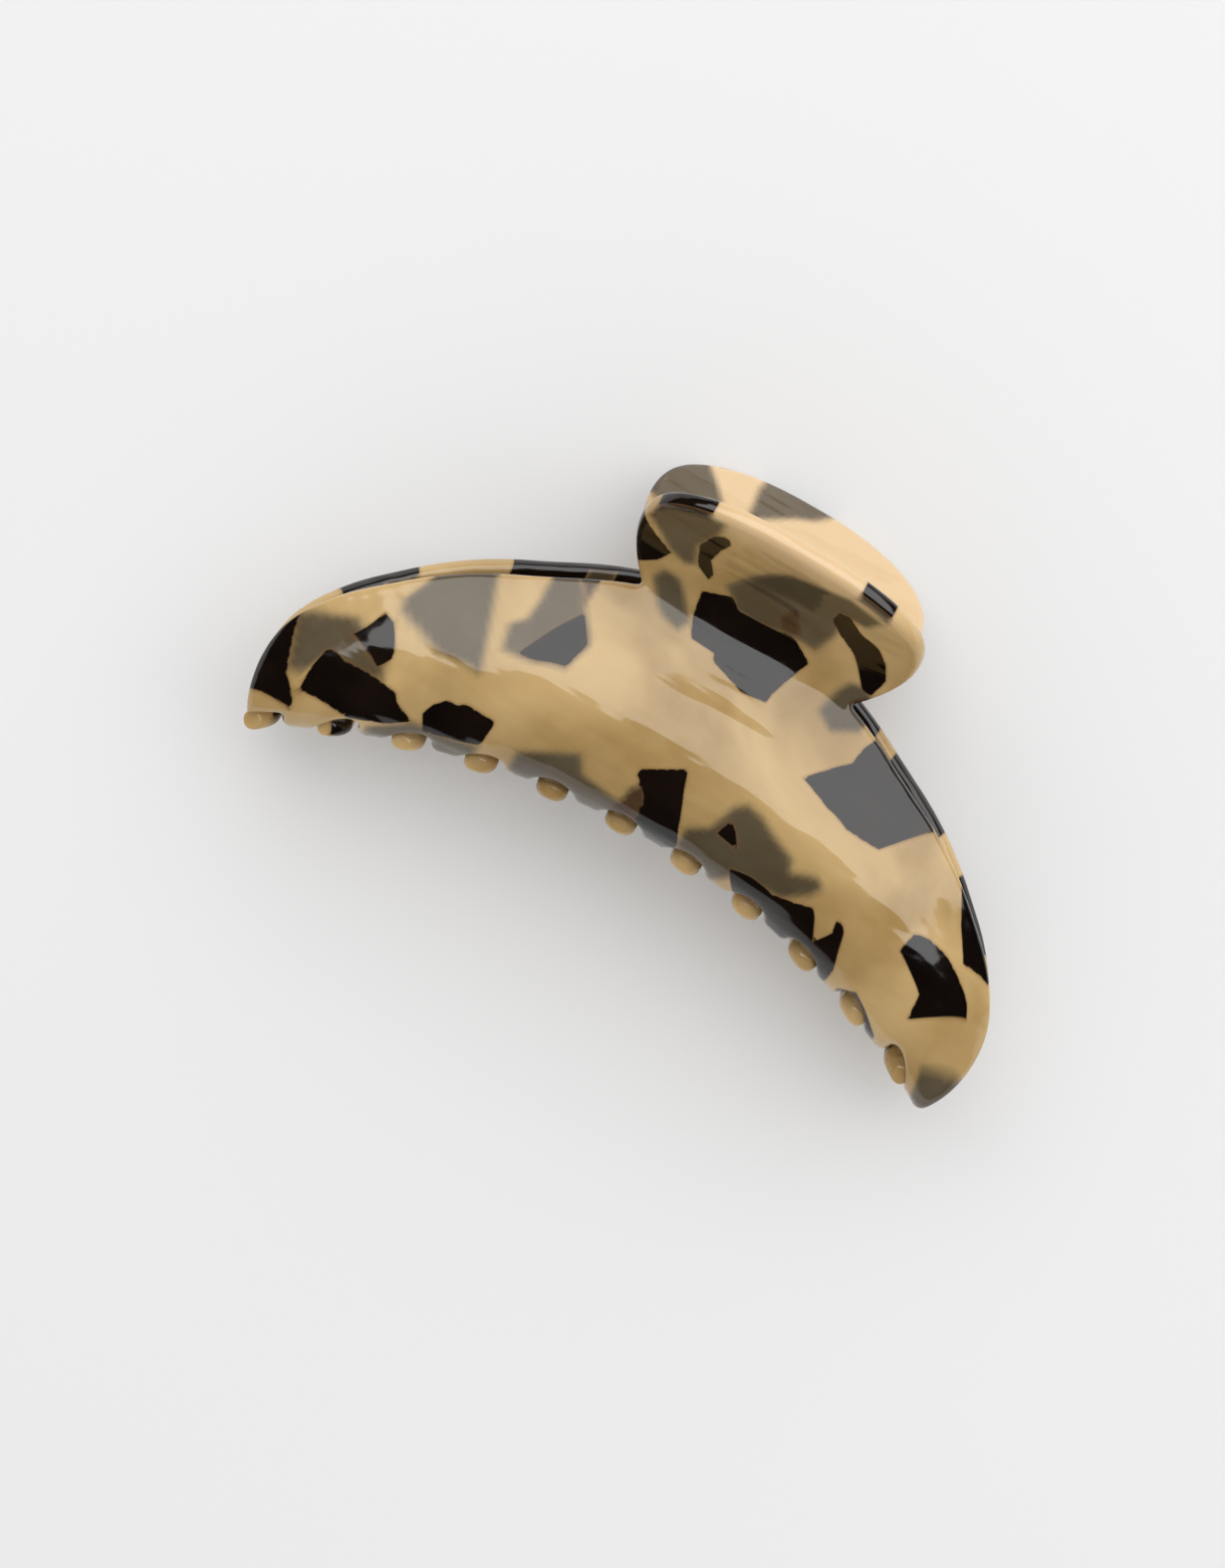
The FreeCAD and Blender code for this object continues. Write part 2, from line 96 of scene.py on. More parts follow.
def edge_up(x):
    """Height of the concave, toothed edge."""
    return TOOTH_EDGE_UP - (TOOTH_EDGE_RADIUS - np.sqrt(TOOTH_EDGE_RADIUS ** 2 - x ** 2))


def belly_out(x):
    """How far the fullest part of the section stands out."""
    return BELLY_END_OUT + (BELLY_OUT - BELLY_END_OUT) * (
        1 - (x / BELLY_HALF_WIDTH) ** 2) ** BELLY_POWER


def rim_out(x):
    """How far the rim stands out."""
    return END_OUT + (RIM_OUT - END_OUT) * (1 - (x / RIM_HALF_WIDTH) ** 4)


def smooth_step(value, low, high):
    """An eased step from 0 at low to 1 at high."""
    ratio = np.clip((value - low) / (high - low), 0, 1)
    return ratio * ratio * (3 - 2 * ratio)


def section(x):
    """Bezier pieces of the middle of the sheet at stations x, as arrays of (out, up)."""
    belly, low = belly_out(x), edge_up(x) + HALF
    curl = CURL_SHARE * belly
    crest = low + CREST_SHARE * (rim_up(x) - low)
    follow = smooth_step(np.abs(x), NECK_HALF_WIDTH, NECK_BLEND_END)
    waist_u = WAIST_UP * (1 - follow) + (rim_up(x) + WAIST_ABOVE_RIM) * follow
    waist_o = rim_out(x) - WAIST_DROP * (1 - (x / RIM_HALF_WIDTH) ** 4)
    bend_o = belly - curl
    tip_o = -TOOTH_REACH * (belly + HALF)
    tip_u = low - TOOTH_DROOP * (bend_o - tip_o) / TOOTH_DROOP_RUN
    slope = (low - tip_u) / (bend_o - tip_o)
    run = (bend_o - tip_o) / 3
    handle = BEZIER_ROUND * curl
    rise = waist_u - crest
    lip_o, lip_u = waist_o + LIP_OUT - (RIM_OUT - WAIST_DROP), waist_u + LIP_UP - WAIST_UP
    pieces = [
        [(tip_o, tip_u), (tip_o + run, tip_u + slope * run),
         (bend_o - run, low - slope * run), (bend_o, low)],
        [(bend_o, low), (bend_o + handle, low + slope * handle),
         (belly, crest - BEZIER_ROUND * (crest - low)), (belly, crest)],
        [(belly, crest), (belly, crest + BODY_HANDLES[0] * rise),
         (waist_o, waist_u - BODY_HANDLES[1] * rise), (waist_o, waist_u)],
        [(waist_o, waist_u), (waist_o, waist_u + TAB_RISE_HANDLE),
         (lip_o - LIP_HANDLE_OUT, lip_u - LIP_HANDLE_UP), (lip_o, lip_u)],
    ]
    return pieces


PIECE_STEPS = 48                 # divisions of each Bezier piece in the tables
STATION_X = np.linspace(-55.5, 55.5, 223)


def trace_sections():
    """Tables over (station, step) of up and of the place along the sheet, which is 0 at the waist."""
    t = np.linspace(0, 1, PIECE_STEPS, endpoint=False)
    outs, ups = [], []
    for piece in section(STATION_X):
        weights = [(1 - t) ** 3, 3 * (1 - t) ** 2 * t, 3 * (1 - t) * t ** 2, t ** 3]
        outs.append(sum(np.outer(p[0], w) for p, w in zip(piece, weights)))
        ups.append(sum(np.outer(p[1], w) for p, w in zip(piece, weights)))
    end = section(STATION_X)[-1][-1]
    out = np.hstack(outs + [np.reshape(end[0], (-1, 1))])
    up = np.hstack(ups + [np.reshape(end[1], (-1, 1))])
    steps = np.hypot(np.diff(out, axis=1), np.diff(up, axis=1))
    along = np.hstack([np.zeros((len(STATION_X), 1)), np.cumsum(steps, axis=1)])
    along -= along[:, 3 * PIECE_STEPS][:, None]
    return up, along


UP_TABLE, ALONG_TABLE = trace_sections()


def by_station(x):
    """Lower station index and the fraction towards the next one."""
    position = (np.asarray(x) - STATION_X[0]) / (STATION_X[1] - STATION_X[0])
    index = np.clip(position.astype(int), 0, len(STATION_X) - 2)
    return index, position - index


def step_at(x, along):
    """The place on a section, as pieces and fractions of a piece, for a place along the sheet."""
    index, fraction = by_station(x)
    rows = ALONG_TABLE[index] * (1 - fraction)[:, None] + ALONG_TABLE[index + 1] * fraction[:, None]
    low = np.clip((rows < along[:, None]).sum(axis=1) - 1, 0, rows.shape[1] - 2)
    item = np.arange(len(low))
    start, end = rows[item, low], rows[item, low + 1]
    return (low + np.clip((along - start) / (end - start), 0, 1)) / PIECE_STEPS


def along_at(x, step):
    """Place along the sheet of a step counted in pieces (0 tip, 1 curl, 2 crest, 3 waist, 4 lip)."""
    x = np.atleast_1d(np.asarray(x, float))
    index, fraction = by_station(x)
    column = int(round(step * PIECE_STEPS))
    return ALONG_TABLE[index, column] * (1 - fraction) + ALONG_TABLE[index + 1, column] * fraction


def bezier_at(x, step):
    """Point and rate of the section curves at stations x, as (out, up, d_out, d_up)."""
    piece_index = np.clip(step.astype(int), 0, 3)
    t = step - piece_index
    pieces = section(x)
    result = np.zeros((4, len(x)))
    for number, piece in enumerate(pieces):
        here = piece_index == number
        s, r = t[here], 1 - t[here]
        weights = (r ** 3, 3 * r * r * s, 3 * r * s * s, s ** 3)
        rates = (-3 * r * r, 3 * r * r - 6 * r * s, 6 * r * s - 3 * s * s, 3 * s * s)
        for axis in (0, 1):
            ends = [np.broadcast_to(p[axis], x.shape)[here] for p in piece]
            result[axis, here] = sum(w * e for w, e in zip(weights, ends))
            result[axis + 2, here] = sum(w * e for w, e in zip(rates, ends))
    return result


def on_sheet(x, along, depth):
    """Points (x, up, out) of the bent sheet; depth is measured from its middle, outside positive."""
    step = step_at(x, along)
    out, up, d_out, d_up = bezier_at(x, step)
    nudge = 0.02                 # step along x for the slope of the sheet
    out_high, up_high = bezier_at(x + nudge, step)[:2]
    out_low, up_low = bezier_at(x - nudge, step)[:2]
    across = np.stack([np.full_like(x, 2 * nudge), up_high - up_low, out_high - out_low], axis=1)
    upward = np.stack([np.zeros_like(x), d_up, d_out], axis=1)
    normal = np.cross(across, upward)
    normal /= np.linalg.norm(normal, axis=1)[:, None]
    return np.stack([x, up, out], axis=1) + normal * depth[:, None]


# ------------------------------------------------------------------ places in the row and in view

HINGE_POINT = np.array(frame["joints"][0]["pos_m"])
CAMERA_AIM = (-0.0059, -0.0144, 0.0208)
CAMERA_DISTANCE = 0.7
CAMERA_LEAN = math.radians(2.5)  # towards -X from straight overhead
CAMERA_ROLL, CAMERA_FIELD = math.radians(30), math.radians(16.9)
SEEN_SHIFT = AXIS_UP * math.cos(LIE) - HINGE_POINT[1] / MM    # seen height less Y in the row


def to_row(points):
    """Row coordinates in metres of clip points (x, up, out) in millimetres."""
    up, out = points[:, 1] - AXIS_UP, points[:, 2]
    turned = np.stack([points[:, 0], up * math.cos(LIE) - out * math.sin(LIE),
                       up * math.sin(LIE) + out * math.cos(LIE)], axis=1)
    return turned * MM + HINGE_POINT


# ------------------------------------------------------------------ the flat outline of a jaw

TAB_HALF_WIDTH, TAB_CENTRE, TAB_RISE, TAB_FALL = 20.7, 9.9, 12.3, 16.5
TAB_POWER = 2.25                     # of the superellipse that the tab's lip follows
END_START = 44.0                     # a Bezier curve with these (x, up) poles rounds off the end
END_POLES = [(46.2, 8.3), (61.1, -2.6), (50.6, -18.2)]
ROOT_STEP, END_STEP = 1.12, 1.42     # places on the curl: gullet centres, and the cleared ends
OUTLINE_STEP = 0.36                  # spacing of the outline's points


def gullet_places():
    """Centre and half-width, along x, of each U-shaped gullet, and of the two cleared ends."""
    arcs = TOOTH_PITCH * (np.arange(-5, 7) - 0.25)
    centres = TOOTH_EDGE_RADIUS * np.sin(arcs / TOOTH_EDGE_RADIUS)
    return centres, GULLET_WIDTH / 2 * np.cos(arcs / TOOTH_EDGE_RADIUS)


def up_to_along(x, up, first_piece=1):
    """Places on the sheet, from a piece of the section upwards, of stations x and heights up."""
    index, fraction = by_station(x)
    first = first_piece * PIECE_STEPS
    result = []
    for i, f, target in zip(index, fraction, up):
        low, high = [np.interp(target, UP_TABLE[k, first:], ALONG_TABLE[k, first:])
                     for k in (i, i + 1)]
        result.append(low * (1 - f) + high * f)
    return np.array(result)


def rim_along(x):
    """Where the convex rim lies on the sheet."""
    x = np.atleast_1d(np.asarray(x, float))
    return up_to_along(x, rim_edge_up(x), first_piece=2)


def tab_edge():
    """The thumb tab's outline from its right foot over the top to its left foot."""
    angle = np.linspace(math.radians(-60), math.radians(240), 300)
    power = 2 / TAB_POWER
    x = TAB_HALF_WIDTH * np.sign(np.cos(angle)) * np.abs(np.cos(angle)) ** np.where(
        np.sin(angle) > 0, power, 1.0)
    rise = np.where(np.sin(angle) > 0, TAB_RISE * np.abs(np.sin(angle)) ** power,
                    TAB_FALL * np.sin(angle))
    points = np.stack([x, TAB_CENTRE + rise], axis=1)
    return points[points[:, 1] > rim_along(points[:, 0])]


def lip_along(x):
    """Where the tab's lip lies on the sheet."""
    return TAB_CENTRE + TAB_RISE * (1 - np.abs(x / TAB_HALF_WIDTH) ** TAB_POWER) ** (1 / TAB_POWER)


def arc(centre, radius, start, end, count):
    """Points of a circular arc between two angles in degrees."""
    angle = np.radians(np.linspace(start, end, count))
    return np.stack([centre[0] + radius * np.cos(angle), centre[1] + radius * np.sin(angle)], axis=1)


def rim_half():
    """The rim and the rounded end on the right-hand side, from the neck to the lower edge."""
    xs = np.linspace(tab_edge()[0, 0], END_START, 160)
    rim = np.stack([xs, rim_along(xs)], axis=1)
    t = np.linspace(0, 1, 160)[1:, None]
    poles = np.array([(END_START, rim_edge_up(END_START))] + END_POLES)
    weights = np.hstack([(1 - t) ** 3, 3 * (1 - t) ** 2 * t, 3 * (1 - t) * t ** 2, t ** 3])
    end = weights @ poles
    end = np.stack([end[:, 0], up_to_along(*end.T)], axis=1)
    return np.vstack([rim, end[end[:, 1] > along_at(end[:, 0], END_STEP)]])


def toothed_edge(end_x):
    """The lower edge from the left end to the right end, teeth and gullets in turn.

    A plain shelf runs from the left end to the first tooth, and a short one from the last tooth."""
    centres, halves = gullet_places()
    first = centres[0] + halves[0]
    shelf = np.linspace(-end_x, first - 1.0, 12)
    pieces = [np.stack([shelf, along_at(shelf, END_STEP)], axis=1),
              np.array([[first - 0.2, along_at(first, END_STEP)[0] - 0.3]])]
    for number in range(len(centres) - 1):
        low_x = centres[number] + halves[number]
        high_x = centres[number + 1] - halves[number + 1]
        radius, middle = (high_x - low_x) / 2, (low_x + high_x) / 2
        tip = along_at(middle, 0)[0]
        pieces.append(arc((middle, tip + radius), radius, 180, 360, 16))
        if number < len(centres) - 2:
            root = along_at(centres[number + 1], ROOT_STEP)[0]
            pieces.append(arc((centres[number + 1], root), halves[number + 1], 180, 0, 18))
        else:
            pieces.append(np.array([[high_x, along_at(high_x, END_STEP)[0] - 1.2]]))
    return np.vstack(pieces)


def resampled(points, spacing):
    """The closed polyline with evenly spaced points."""
    closed = np.vstack([points, points[:1]])
    lengths = np.hypot(*np.diff(closed, axis=0).T)
    walk = np.concatenate([[0], np.cumsum(lengths)])
    count = int(round(walk[-1] / spacing))
    stops = np.linspace(0, walk[-1], count, endpoint=False)
    return np.stack([np.interp(stops, walk, closed[:, axis]) for axis in (0, 1)], axis=1)


def jaw_outline():
    """The flat outline, anticlockwise, with its corners eased."""
    right = rim_half()
    left = right * [-1, 1]
    ring = np.vstack([tab_edge()[:-1], left, toothed_edge(right[-1, 0]), right[::-1][:-1]])
    ring = resampled(ring, OUTLINE_STEP)
    for _ in range(3):
        ring = 0.5 * ring + 0.25 * (np.roll(ring, 1, axis=0) + np.roll(ring, -1, axis=0))
    return resampled(ring, OUTLINE_STEP)


# ------------------------------------------------------------------ the divided sheet

ROUND_STEPS = 6          # divisions of the quarter round on each edge
GRID = 0.72              # spacing of the points inside the outline
CLEAR_OF_EDGE = 0.32     # least gap from those points to the flat's own edge


def inward(ring):
    """Unit normals of an anticlockwise ring, pointing into it."""
    tangent = np.roll(ring, -1, axis=0) - np.roll(ring, 1, axis=0)
    tangent /= np.linalg.norm(tangent, axis=1)[:, None]
    return np.stack([-tangent[:, 1], tangent[:, 0]], axis=1)


def inside_points(ring, margin):
    """Points of a staggered grid that lie inside the ring by at least a margin."""
    low, high = ring.min(axis=0), ring.max(axis=0)
    rows = []
    for number, along in enumerate(np.arange(low[1], high[1], GRID * 0.866)):
        xs = np.arange(low[0] + (number % 2) * GRID / 2, high[0], GRID)
        rows.append(np.stack([xs, np.full(len(xs), along)], axis=1))
    points = np.vstack(rows)
    ends = np.roll(ring, -1, axis=0)
    kept = []
    for block in np.array_split(points, max(1, len(points) // 1500)):
        crossing = (ring[None, :, 1] > block[:, 1, None]) != (ends[None, :, 1] > block[:, 1, None])
        rise = np.where(np.abs(ends[:, 1] - ring[:, 1]) < 1e-9, 1e-9, ends[:, 1] - ring[:, 1])
        cut_x = ring[:, 0] + (block[:, 1, None] - ring[:, 1]) / rise * (ends[:, 0] - ring[:, 0])
        odd = ((crossing & (block[:, 0, None] < cut_x)).sum(axis=1) % 2) == 1
        gaps = np.hypot(block[:, 0, None] - ring[:, 0], block[:, 1, None] - ring[:, 1]).min(axis=1)
        kept.append(block[odd & (gaps > margin)])
    return np.vstack(kept)


def divided_sheet():
    """Sheet coordinates (x, along, depth) of every vertex of a jaw, and its faces."""
    ring = jaw_outline()
    count = len(ring)
    normal = inward(ring)
    angles = np.linspace(0, math.pi / 2, ROUND_STEPS + 1)
    insets = EDGE_ROUND * (1 - np.cos(angles))
    depths = HALF - EDGE_ROUND + EDGE_ROUND * np.sin(angles)
    rows = [(inset, depth) for inset, depth in zip(insets[::-1], depths[::-1])]
    rows += [(inset, -depth) for inset, depth in zip(insets, depths)]
    verts = [np.column_stack([ring + normal * inset, np.full(count, depth)])
             for inset, depth in rows]
    faces = []
    here = np.arange(count)
    after = (here + 1) % count
    for row in range(len(rows) - 1):
        top, low = row * count, (row + 1) * count
        faces += np.column_stack([top + here, low + here, low + after, top + after]).tolist()
    inner_ring = ring + normal * EDGE_ROUND
    points = inside_points(inner_ring, CLEAR_OF_EDGE)
    flat = [Vector(p) for p in np.vstack([inner_ring, points])]
    edges = [(int(a), int(b)) for a, b in zip(here, after)]
    made, _, triangles, origins, _, _ = delaunay_2d_cdt(flat, edges, [], 1, 1e-6)
    total = len(rows) * count
    place_of = {}
    extra = []
    for new, sources in enumerate(origins):
        old = sources[0] if sources else None
        if old is not None and old < count:
            place_of[new] = (old, (len(rows) - 1) * count + old)
        else:
            place_of[new] = (total + len(extra), None)
            extra.append(tuple(made[new]))
    added = np.array(extra)
    verts.append(np.column_stack([added, np.full(len(added), HALF)]))
    verts.append(np.column_stack([added, np.full(len(added), -HALF)]))
    for triangle in triangles:
        upper = [place_of[v][0] for v in triangle]
        lower = [place_of[v][1] if place_of[v][1] is not None else place_of[v][0] + len(added)
                 for v in triangle]
        faces.append(upper)
        faces.append(lower[::-1])
    return np.vstack(verts), faces


# ------------------------------------------------------------------ the tortoise pattern

# A chip of dark acetate is an outline on the sheet with a range of depth in it. Where the chip
# comes to a face it is black and crisp; where it lies under one it shows as a soft grey veil.
# The front jaw's chips are given as they are seen from above: (x, height) in clip axes.

TOP, UNDER, MIDDLE = (-0.4, HALF + 0.3), (-1.2, 1.28), (-1.0, 1.0)
BACK, THROUGH = (-HALF - 0.3, 0.1), (-HALF - 0.3, HALF + 0.3)
VEIL_FADE = 3.5          # thickness of acetate that hides a buried chip
VEIL_BLUR = 0.3          # softness of a veil's edge, and 1 more for each millimetre of cover
FAR = 4                  # reach past a chip's outline within which it can still be felt

FRONT_SEEN = [
    # the left-hand end
    (THROUGH, [(-53, -0.5), (-52.5, -3), (-51.4, -6.2), (-50.7, -7.9), (-48.2, -10.7),
               (-47.8, -12.2), (-53.4, -12.2), (-57, -11.5), (-57, 0.5)]),
    (MIDDLE, [(-54, -1), (-52, 0.5), (-49, 1.8), (-46.2, 3), (-44, 2), (-40, -0.5), (-39, -2.8),
              (-43, -4), (-47.5, -3.5), (-49, -7.3), (-51, -7.5)]),
    (TOP, [(-45.6, 0.8), (-44.4, 2.6), (-43.4, 5.3), (-41.6, 4.8), (-39.7, 1.6), (-39.5, 0.2),
           (-40.6, -1.4)]),
    (TOP, [(-47.5, -2.3), (-44.6, -2.9), (-38.8, -2.9), (-36.8, -3.2), (-36.1, -4.2),
           (-33.1, -5.5), (-35.7, -7.4), (-40.5, -9.2), (-48.1, -9.3), (-48.2, -5.9)]),
    (TOP, [(-32.4, -3.7), (-31.7, -2), (-30.4, -0.6), (-28.4, -0.5), (-28.2, 0.2), (-23.4, 0.1),
           (-23.7, -3.6), (-27.4, -4.8), (-31.2, -6)]),
    (MIDDLE, [(-38, -9), (-35.5, -7.4), (-32.8, -5.5), (-27, -4.6), (-24, -3.9), (-23, -6),
              (-26, -12), (-38, -14)]),
    (MIDDLE, [(-42.1, 8.2), (-40.7, 11.1), (-40, 13.5), (-36, 18), (-33.4, 19), (-29.5, 8),
              (-28.3, 4.5), (-30.5, 4.8), (-34.7, 4.2), (-39.7, 5.9), (-41.6, 6.6)]),
    # between the left-hand end and the neck
    (MIDDLE, [(-26.5, 22), (-23.9, 23.5), (-20.9, 19.3), (-18.1, 16.1), (-17.7, 15.1),
              (-19, 10.8), (-22.9, 9.4), (-27.5, 8.8), (-28.4, 12.3), (-26.7, 14.1), (-26.4, 17)]),
    (UNDER, [(-23.5, 23), (-20.7, 25), (-20.9, 19.5)]),
    (TOP, [(-25.5, 9.4), (-22.9, 9.8), (-19, 11.2), (-18, 15.1), (-20.5, 18.5), (-23, 14.5)]),
    (MIDDLE, [(-19, -2), (-15.6, 0.1), (-11.5, 2.1), (-9.9, -0.2), (-5.2, -0.8), (-2, -1),
              (-2, -6), (-16, -8), (-19, -4.5)]),
    (TOP, [(-3.8, 3.5), (-3.6, 4.3), (1.8, 7.4), (4.4, 0.7), (5.5, -2), (5.5, -6), (0, -5),
           (-1.2, 1.3)]),
    (UNDER, [(-3.5, 1.5), (-2, 3), (0, 0), (0, -6), (-6, -6), (-4, -1)]),
    # between the neck and the right-hand end
    (MIDDLE, [(5.5, 0.5), (8.2, 2.1), (9.6, 6), (11, 7.3), (13.5, 6.9), (15.9, 5.6), (19.9, 3.9),
              (20.5, 2.2), (24.1, 3.5), (25.3, 2.6), (24.4, 0.8), (21, -1.5), (14, -2), (9, -7),
              (5, -7)]),
    (TOP, [(10.2, 4.4), (9.4, 2), (12.8, 1.3), (11.8, 3)]),
    (TOP, [(13.1, -1.2), (16.3, -0.8), (20, -1.5), (22.8, -1), (25.5, -0.3), (26.4, -1.4),
           (27.6, -4), (28.2, -8), (22, -7), (17, -5)]),
    (TOP, [(29, -0.1), (30, -0.1), (30.7, -1.2), (31.3, -3.6), (31.9, -6.2), (31.5, -9),
           (28.2, -9), (27.6, -4.2), (29.3, -2)]),
    (THROUGH, [(33.6, -8.0), (36, -7.2), (38.2, -8.6), (41, -11), (42, -17), (34, -17)]),
    (TOP, [(15.6, 14.1), (20.3, 19), (20.7, 21.5), (22.5, 25), (26, 24), (34.4, 16.6),
           (29.1, 10.8), (24, 11), (20.4, 12.2)]),
    (TOP, [(38.2, 0.6), (38.9, 3.5), (40.7, 3.9), (44.1, 3.1), (46.1, 1.9), (49.5, -0.8),
           (50.7, -2.9), (43.7, -6.9), (43.5, -3.1), (41, -1.2)]),
    (THROUGH, [(41.3, 12), (43.7, 7.6), (46.6, 3.2), (50.8, 2.5), (55, 6), (45, 16)]),
    (MIDDLE, [(48.5, -11.4), (51.5, -10.6), (57, -9), (57, -19), (50, -18)]),
    # the neck and the tab
    (TOP, [(-24, 33.5), (-20.3, 33.5), (-17.7, 32.3), (-14.5, 31.1), (-15.4, 29.5), (-17.8, 28),
           (-24, 28)]),
    (MIDDLE, [(-19.5, 34), (-18.8, 35.5), (-14.9, 37.5), (-10, 38), (-10.1, 36.2), (-11.8, 33.5),
              (-10.9, 31.5), (-12.1, 30.8), (-15, 31.5)]),
    (TOP, [(-8, 36), (-8.8, 36.7), (-10.6, 36), (-11.7, 33.9), (-10.7, 31.6), (-8.5, 30.5),
           (-8.1, 31.3), (-9.4, 33), (-8.8, 34.9)]),
    (MIDDLE, [(-15.1, 27.2), (-14.1, 28.8), (-11.8, 28.7), (-9.9, 27), (-7.8, 24.5),
              (-8.7, 22.7), (-11.3, 23.3), (-12.9, 24.6)]),
    (MIDDLE, [(-6, 31.1), (-3.9, 33.5), (-1.7, 35.2), (1, 36.5), (5.4, 37.1), (9.3, 37.6),
              (14.7, 36.9), (13, 35.4), (9.8, 35.3), (10, 32.5), (8.6, 29.5), (5.8, 29.6),
              (0, 28.5), (-3.5, 28.9)]),
    (UNDER, [(2.2, 31), (3.8, 32.8), (4.8, 31.5), (5.8, 30), (3.5, 29.8)]),
    (TOP, [(-8.4, 28.8), (-4.5, 30.1), (-2.8, 28.9), (0.6, 29), (5.4, 29.5), (8.7, 27.6),
           (7.3, 24), (6.6, 22), (6.3, 20.2), (2.8, 19.8), (-2.5, 21.5), (-2.9, 22.5),
           (-6.5, 22.7), (-7.3, 24.1), (-8, 26.2)]),
    (TOP, [(8.5, 34.2), (8.9, 35.4), (10.4, 35.6), (12.7, 34.4), (15.7, 33.9), (17.7, 32.5),
           (18.8, 30.5), (18, 28), (16.7, 28), (13.3, 31.6), (10.3, 33)]),
    (MIDDLE, [(13.8, 26.5), (14.7, 28.1), (17.5, 28.8), (19.5, 25), (19.1, 23), (15.6, 21.2),
              (12.9, 22.9)]),
]
# chips that reach the lip of the front tab, as a range of x
FRONT_LIP = [(-19.6, -13.0), (8.7, 13.7)]
LIP_BAND = 1.7           # how far these chips reach in from the lip
BEYOND_LIP = 30          # a place along the sheet that is well past the lip


# seeded strewing where no chip is prescribed: the seed, how many chips, two opposite corners
# (x, along) of the part of the sheet they are strewn over, and the range of their size
FRONT_STREWN = [(11, 26, (-48, -62), (48, -44), (2.0, 4.5))]
REAR_STREWN = [
    (29, 44, (-50, -42), (50, -6), (2.5, 6.5)),
    (37, 9, (-50, -56), (50, -44), (1.5, 3.5)),
    (31, 6, (-16, 4), (16, 10), (2.5, 5)),
]


def seen_from_above(points):
    """Where clip points appear on the level of the camera's aim, as (x, height) in clip axes."""
    place = to_row(points) / MM
    eye = np.array(CAMERA_AIM) / MM + CAMERA_DISTANCE / MM * np.array(
        [-math.sin(CAMERA_LEAN), 0, math.cos(CAMERA_LEAN)])
    stretch = (eye[2] - CAMERA_AIM[2] / MM) / (eye[2] - place[:, 2])
    level = eye[:2] + (place[:, :2] - eye[:2]) * stretch[:, None]
    return level[:, 0], level[:, 1] + SEEN_SHIFT


SEARCH_ROUNDS, SEARCH_POINTS, SEARCH_HALF_WIDTH = 3, 260, 55


def seen_to_sheet(points, side=1, face=HALF, steps=(0.9, 4)):
    """Places on the sheet of points given as a face of it appears from above."""
    result = []
    for x, height in points:
        own = side * x
        for _ in range(SEARCH_ROUNDS):
            own = float(np.clip(own, -SEARCH_HALF_WIDTH, SEARCH_HALF_WIDTH))
            along = np.linspace(along_at(own, steps[0])[0], along_at(own, steps[1])[0],
                                SEARCH_POINTS)
            surface = on_sheet(np.full(len(along), own), along, np.full(len(along), face))
            seen_x, seen = seen_from_above(surface * [side, 1, side])
            lowest = int(seen.argmin())
            if height <= seen[lowest]:
                place, at = along[lowest] + (height - seen[lowest]), seen_x[lowest]
            else:
                place = float(np.interp(height, seen[lowest:], along[lowest:]))
                at = float(np.interp(height, seen[lowest:], seen_x[lowest:]))
            own += side * (x - at)
        result.append((own, place))
    return result


def outline_distance(points, outline):
    """Signed distance of sheet points from an outline, negative inside it."""
    corners = np.array(outline, float)
    ends = np.roll(corners, -1, axis=0)
    best = np.full(len(points), 1e9)
    odd = np.zeros(len(points), bool)
    for start, end in zip(corners, ends):
        span = end - start
        ratio = np.clip((points - start) @ span / (span @ span), 0, 1)
        best = np.minimum(best, np.hypot(*(points - start - ratio[:, None] * span).T))
        crossing = (start[1] > points[:, 1]) != (end[1] > points[:, 1])
        if abs(span[1]) > 1e-9:
            cut = start[0] + (points[:, 1] - start[1]) / span[1] * span[0]
            odd ^= crossing & (points[:, 0] < cut)
    return np.where(odd, -best, best)


def scattered_chips(seed, count, low, high, size_range):
    """Chips strewn over a part of the sheet: uneven outlines with four to seven corners."""
    rng = random.Random(seed)
    chips = []
    for _ in range(count):
        x, along = rng.uniform(low[0], high[0]), rng.uniform(low[1], high[1])
        size = rng.uniform(*size_range)
        corners = rng.randint(4, 7)
        stretch, turn = rng.uniform(0.55, 1.0), rng.uniform(0, math.pi)
        outline = []
        for number in range(corners):
            angle = 2 * math.pi * (number + rng.uniform(-0.3, 0.3)) / corners
            reach = size * rng.uniform(0.6, 1.1)
            px, py = reach * math.cos(angle), reach * stretch * math.sin(angle)
            outline.append((x + px * math.cos(turn) - py * math.sin(turn),
                            along + px * math.sin(turn) + py * math.cos(turn)))
        chips.append((rng.choice([TOP, MIDDLE, BACK, MIDDLE, THROUGH]), outline))
    return chips


def pattern_values(sheet, chips):
    """For every vertex: distance to the nearest crisp chip, and strength of the grey veil."""
    flat, depth = sheet[:, :2], sheet[:, 2]
    crisp = np.full(len(sheet), 9.0)
    clear = np.ones(len(sheet))
    for (low, high), outline in chips:
        outline = np.array(outline, float)
        near = ((flat > outline.min(axis=0) - FAR) & (flat < outline.max(axis=0) + FAR)).all(axis=1)
        if not near.any():
            continue
        gap = outline_distance(flat[near], outline)
        here = depth[near]
        outside = np.maximum(low - here, here - high)
        crisp[near] = np.minimum(crisp[near], np.maximum(gap, outside))
        cover = np.clip(outside, 0, SHEET)
        blur = VEIL_BLUR + cover
        strength = np.exp(-cover / VEIL_FADE) * (1 - smooth_step(gap, -blur, blur))
        clear[near] *= 1 - 0.99 * np.where(outside > 0, strength, 0)
    return crisp, 1 - clear


